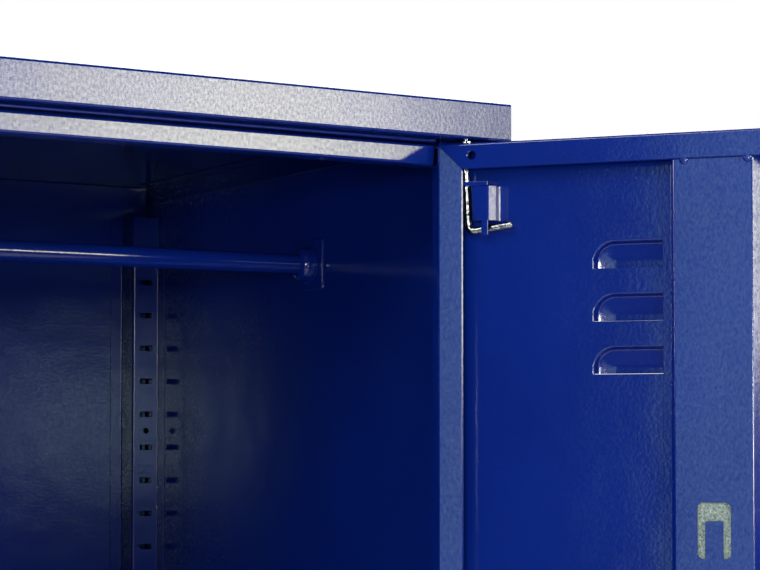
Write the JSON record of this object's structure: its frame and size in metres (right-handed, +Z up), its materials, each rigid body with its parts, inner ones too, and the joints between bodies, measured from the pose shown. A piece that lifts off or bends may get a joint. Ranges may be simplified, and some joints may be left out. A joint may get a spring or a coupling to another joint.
{
  "type": "locker cabinet",
  "caption": "Steel locker cabinet with hinged doors, drop-pin hinges, louvres, slotted shelf posts, a hanging rod, a shelf and a turn-handle bolt lock.",
  "frame": {"origin": "floor, under the middle of the carcass", "axes": "+X to the right, +Y from the doors to the rear panel, +Z up"},
  "size_m": [0.9957, 0.8884, 1.8],
  "materials": {
    "blue_paint": "gloss cobalt-blue powder coat with fine orange peel",
    "zinc": "bright zinc plate",
    "fibre_strip": "grey-green mottled fibre",
    "black_plastic": "fine-grained black moulding",
    "chrome": "polished lock plug"
  },
  "bodies": {
    "carcass": {"roof_cap": "blue_paint", "roof_front_channel": "blue_paint", "front_top_rail": "blue_paint", "front_bottom_rail": "blue_paint", "rear_panel": "blue_paint", "base_pan": "blue_paint", "base_tray": "blue_paint", "hanging_rod": "blue_paint", "shelf": "blue_paint", "side_panel_left": "blue_paint", "roof_side_rail_left": "blue_paint", "rear_post_left": "blue_paint", "front_post_left": "blue_paint", "rod_plate_left": "blue_paint", "rod_cup_left": "blue_paint", "rear_shelf_clip_left": "zinc", "front_shelf_clip_left": "zinc", "upper_hinge_socket_left": "zinc", "lower_hinge_socket_left": "zinc", "side_panel_right": "blue_paint", "roof_side_rail_right": "blue_paint", "rear_post_right": "blue_paint", "front_post_right": "blue_paint", "rod_plate_right": "blue_paint", "rod_cup_right": "blue_paint", "rear_shelf_clip_right": "zinc", "front_shelf_clip_right": "zinc", "upper_hinge_socket_right": "zinc", "lower_hinge_socket_right": "zinc"},
    "right_door": {"right_door_pan": "blue_paint", "right_door_stiffener": "blue_paint", "right_door_damping_strip": "fibre_strip", "right_upper_pin_bracket": "blue_paint", "right_lower_pin_bracket": "blue_paint", "right_upper_washer": "zinc", "right_lower_washer": "zinc", "handle_plate": "black_plastic", "upper_bolt_guide": "zinc", "lower_bolt_guide": "zinc"},
    "left_door": {"left_door_pan": "blue_paint", "left_door_stiffener": "blue_paint", "left_door_damping_strip": "fibre_strip", "left_upper_pin_bracket": "blue_paint", "left_lower_pin_bracket": "blue_paint", "left_upper_washer": "zinc", "left_lower_washer": "zinc"},
    "handle": {"handle_lever": "black_plastic", "lock_cam": "zinc"},
    "lock_plug": {"lock_plug": "chrome"},
    "upper_bolt": {"upper_lock_bolt": "zinc"},
    "lower_bolt": {"lower_lock_bolt": "zinc"},
    "left_upper_pin": {"left_upper_hinge_pin": "zinc"},
    "left_lower_pin": {"left_lower_hinge_pin": "zinc"},
    "right_upper_pin": {"right_upper_hinge_pin": "zinc"},
    "right_lower_pin": {"right_lower_hinge_pin": "zinc"}
  },
  "joints": [
    {"name": "right_door_hinge", "type": "hinge", "parent": "carcass", "child": "right_door", "pos_m": [0.3674, -0.292, 0.9], "axis": [0, 0, 1], "range_deg": [-127.4, 2.6]},
    {"name": "left_door_hinge", "type": "hinge", "parent": "carcass", "child": "left_door", "pos_m": [-0.3674, -0.292, 0.9], "axis": [0, 0, 1], "range_deg": [-130, 0]},
    {"name": "handle_turn", "type": "hinge", "parent": "right_door", "child": "handle", "pos_m": [0.562, -0.54653, 0.95], "axis": [0.7944, 0.6074, 0], "range_deg": [0, 90]},
    {"name": "lock_plug_turn", "type": "hinge", "parent": "handle", "child": "lock_plug", "pos_m": [0.562, -0.54653, 0.95], "axis": [0.7944, 0.6074, 0], "range_deg": [0, 90]},
    {"name": "upper_bolt_slide", "type": "slide", "parent": "right_door", "child": "upper_bolt", "axis": [0, 0, 1], "range_m": [0, 0.0141]},
    {"name": "lower_bolt_slide", "type": "slide", "parent": "right_door", "child": "lower_bolt", "axis": [0, 0, -1], "range_m": [0, 0.0141]},
    {"name": "left_upper_pin_slide", "type": "slide", "parent": "left_door", "child": "left_upper_pin", "axis": [0, 0, -1], "range_m": [0, 0.013]},
    {"name": "left_lower_pin_slide", "type": "slide", "parent": "left_door", "child": "left_lower_pin", "axis": [0, 0, 1], "range_m": [0, 0.013]},
    {"name": "right_upper_pin_slide", "type": "slide", "parent": "right_door", "child": "right_upper_pin", "axis": [0, 0, -1], "range_m": [0, 0.013]},
    {"name": "right_lower_pin_slide", "type": "slide", "parent": "right_door", "child": "right_lower_pin", "axis": [0, 0, 1], "range_m": [0, 0.013]}
  ],
  "couplings": [
    {"joint": "upper_bolt_slide", "follows": "handle_turn", "m_per_rad": 0.0089127},
    {"joint": "lower_bolt_slide", "follows": "handle_turn", "m_per_rad": 0.0089127}
  ]
}
